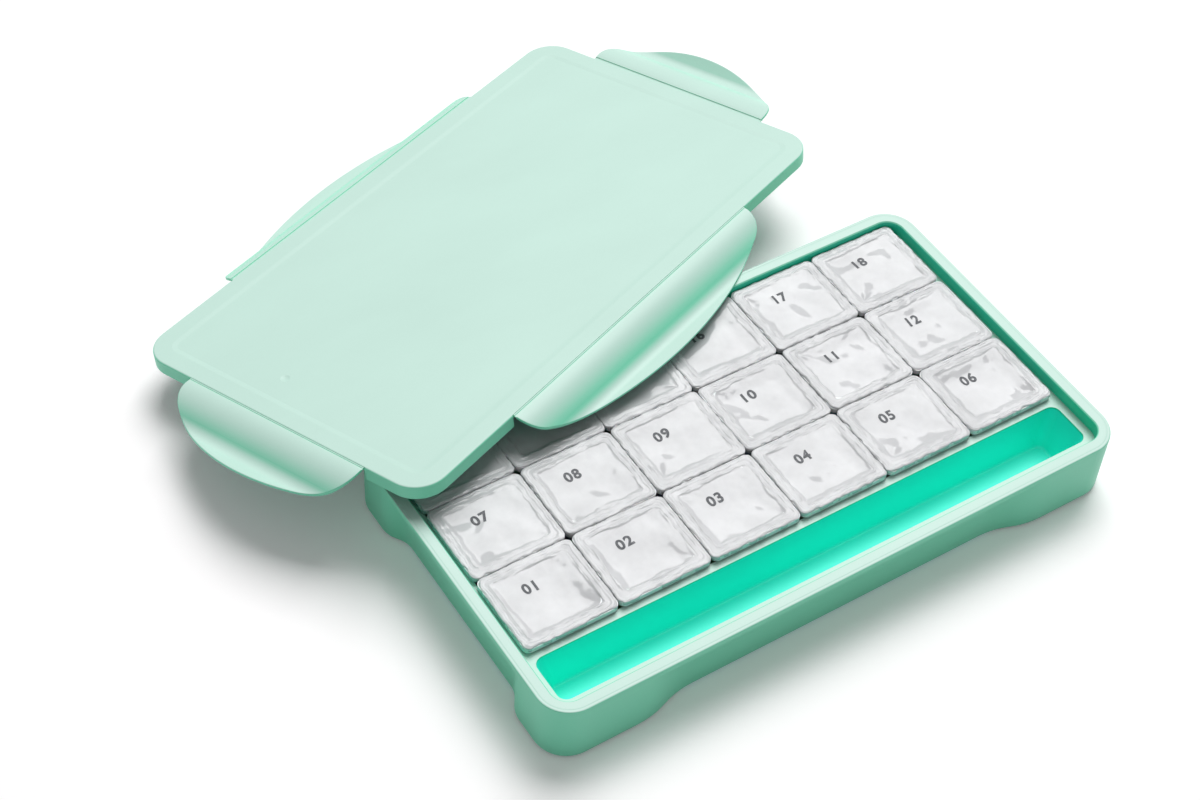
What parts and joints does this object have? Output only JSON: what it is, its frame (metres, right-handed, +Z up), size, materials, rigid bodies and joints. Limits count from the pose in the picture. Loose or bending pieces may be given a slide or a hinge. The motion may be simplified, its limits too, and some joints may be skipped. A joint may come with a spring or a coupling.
{
  "type": "gouache paint set box",
  "caption": "Shallow mint plastic paint case with a brush trough and sealed gouache cups, and its loose lid with living-hinge clip flaps lying across the back-left corner.",
  "frame": {"origin": "centre of the case's flat underside, where it rests on a table", "axes": "+X along the case's long side, +Y from the brush trough to the back of the case, +Z up out of the open case"},
  "size_m": [0.3441, 0.3593, 0.0479],
  "materials": {
    "mint_plastic": "satin moulded polypropylene",
    "cup_plastic": "thin milky thermoformed plastic",
    "seal_film": "crinkled white peel-off film",
    "paint_white": "moist gouache",
    "paint_lemon_yellow": "moist gouache",
    "paint_deep_yellow": "moist gouache",
    "paint_orange": "moist gouache",
    "paint_vermilion": "moist gouache",
    "paint_crimson": "moist gouache",
    "paint_rose": "moist gouache",
    "paint_violet": "moist gouache",
    "paint_ultramarine": "moist gouache",
    "paint_cobalt_blue": "moist gouache",
    "paint_sky_blue": "moist gouache",
    "paint_turquoise": "moist gouache",
    "paint_viridian": "moist gouache",
    "paint_leaf_green": "moist gouache",
    "paint_yellow_ochre": "moist gouache",
    "paint_burnt_sienna": "moist gouache",
    "paint_umber": "moist gouache",
    "paint_black": "moist gouache"
  },
  "bodies": {
    "case": {"base_box": "mint_plastic"},
    "lid": {"lid_plate": "mint_plastic"},
    "right_flap_clip": {"right_flap": "mint_plastic"},
    "back_flap_clip": {"back_flap": "mint_plastic"},
    "left_flap_clip": {"left_flap": "mint_plastic"},
    "front_flap_clip": {"front_flap": "mint_plastic"},
    "pot_01": {"cup_01": "cup_plastic", "seal_01": "seal_film", "paint_01": "paint_white"},
    "pot_02": {"cup_02": "cup_plastic", "seal_02": "seal_film", "paint_02": "paint_lemon_yellow"},
    "pot_03": {"cup_03": "cup_plastic", "seal_03": "seal_film", "paint_03": "paint_deep_yellow"},
    "pot_04": {"cup_04": "cup_plastic", "seal_04": "seal_film", "paint_04": "paint_orange"},
    "pot_05": {"cup_05": "cup_plastic", "seal_05": "seal_film", "paint_05": "paint_vermilion"},
    "pot_06": {"cup_06": "cup_plastic", "seal_06": "seal_film", "paint_06": "paint_crimson"},
    "pot_07": {"cup_07": "cup_plastic", "seal_07": "seal_film", "paint_07": "paint_rose"},
    "pot_08": {"cup_08": "cup_plastic", "seal_08": "seal_film", "paint_08": "paint_violet"},
    "pot_09": {"cup_09": "cup_plastic", "seal_09": "seal_film", "paint_09": "paint_ultramarine"},
    "pot_10": {"cup_10": "cup_plastic", "seal_10": "seal_film", "paint_10": "paint_cobalt_blue"},
    "pot_11": {"cup_11": "cup_plastic", "seal_11": "seal_film", "paint_11": "paint_sky_blue"},
    "pot_12": {"cup_12": "cup_plastic", "seal_12": "seal_film", "paint_12": "paint_turquoise"},
    "pot_13": {"cup_13": "cup_plastic", "seal_13": "seal_film", "paint_13": "paint_viridian"},
    "pot_14": {"cup_14": "cup_plastic", "seal_14": "seal_film", "paint_14": "paint_leaf_green"},
    "pot_15": {"cup_15": "cup_plastic", "seal_15": "seal_film", "paint_15": "paint_yellow_ochre"},
    "pot_16": {"cup_16": "cup_plastic", "seal_16": "seal_film", "paint_16": "paint_burnt_sienna"},
    "pot_17": {"cup_17": "cup_plastic", "seal_17": "seal_film", "paint_17": "paint_umber"},
    "pot_18": {"cup_18": "cup_plastic", "seal_18": "seal_film", "paint_18": "paint_black"}
  },
  "joints": [
    {"name": "lid_lift", "type": "slide", "parent": "case", "child": "lid", "axis": [0, 0, 1], "range_m": [0, 0.11]},
    {"name": "right_flap_hinge", "type": "hinge", "parent": "lid", "child": "right_flap_clip", "pos_m": [0.10294, 0.20495, 0.02753], "axis": [0.3436, -0.926, 0.1565], "range_deg": [-60, 75], "stiffness_Nm_per_rad": 0.05},
    {"name": "back_flap_hinge", "type": "hinge", "parent": "lid", "child": "back_flap_clip", "pos_m": [-0.061, 0.23123, 0.01831], "axis": [0.9386, 0.344, -0.0251], "range_deg": [0, 105], "stiffness_Nm_per_rad": 0.05},
    {"name": "left_flap_hinge", "type": "hinge", "parent": "lid", "child": "left_flap_clip", "pos_m": [-0.16851, 0.10546, 0.03479], "axis": [-0.3436, 0.926, -0.1565], "range_deg": [-85, 85], "stiffness_Nm_per_rad": 0.05},
    {"name": "front_flap_hinge", "type": "hinge", "parent": "lid", "child": "front_flap_clip", "pos_m": [-0.00458, 0.07918, 0.04401], "axis": [-0.9386, -0.344, 0.0251], "range_deg": [0, 105], "stiffness_Nm_per_rad": 0.05},
    {"name": "pot_01_lift", "type": "slide", "parent": "case", "child": "pot_01", "axis": [0, 0, 1], "range_m": [0, 0.04]},
    {"name": "pot_02_lift", "type": "slide", "parent": "case", "child": "pot_02", "axis": [0, 0, 1], "range_m": [0, 0.04]},
    {"name": "pot_03_lift", "type": "slide", "parent": "case", "child": "pot_03", "axis": [0, 0, 1], "range_m": [0, 0.04]},
    {"name": "pot_04_lift", "type": "slide", "parent": "case", "child": "pot_04", "axis": [0, 0, 1], "range_m": [0, 0.04]},
    {"name": "pot_05_lift", "type": "slide", "parent": "case", "child": "pot_05", "axis": [0, 0, 1], "range_m": [0, 0.04]},
    {"name": "pot_06_lift", "type": "slide", "parent": "case", "child": "pot_06", "axis": [0, 0, 1], "range_m": [0, 0.04]},
    {"name": "pot_07_lift", "type": "slide", "parent": "case", "child": "pot_07", "axis": [0, 0, 1], "range_m": [0, 0.011]},
    {"name": "pot_08_lift", "type": "slide", "parent": "case", "child": "pot_08", "axis": [0, 0, 1], "range_m": [0, 0.04]},
    {"name": "pot_09_lift", "type": "slide", "parent": "case", "child": "pot_09", "axis": [0, 0, 1], "range_m": [0, 0.04]},
    {"name": "pot_10_lift", "type": "slide", "parent": "case", "child": "pot_10", "axis": [0, 0, 1], "range_m": [0, 0.04]},
    {"name": "pot_11_lift", "type": "slide", "parent": "case", "child": "pot_11", "axis": [0, 0, 1], "range_m": [0, 0.04]},
    {"name": "pot_12_lift", "type": "slide", "parent": "case", "child": "pot_12", "axis": [0, 0, 1], "range_m": [0, 0.04]},
    {"name": "pot_13_lift", "type": "slide", "parent": "case", "child": "pot_13", "axis": [0, 0, 1], "range_m": [0, 0.009]},
    {"name": "pot_14_lift", "type": "slide", "parent": "case", "child": "pot_14", "axis": [0, 0, 1], "range_m": [0, 0.0055]},
    {"name": "pot_15_lift", "type": "slide", "parent": "case", "child": "pot_15", "axis": [0, 0, 1], "range_m": [0, 0.0035]},
    {"name": "pot_16_lift", "type": "slide", "parent": "case", "child": "pot_16", "axis": [0, 0, 1], "range_m": [0, 0.003]},
    {"name": "pot_17_lift", "type": "slide", "parent": "case", "child": "pot_17", "axis": [0, 0, 1], "range_m": [0, 0.003]},
    {"name": "pot_18_lift", "type": "slide", "parent": "case", "child": "pot_18", "axis": [0, 0, 1], "range_m": [0, 0.04]}
  ]
}
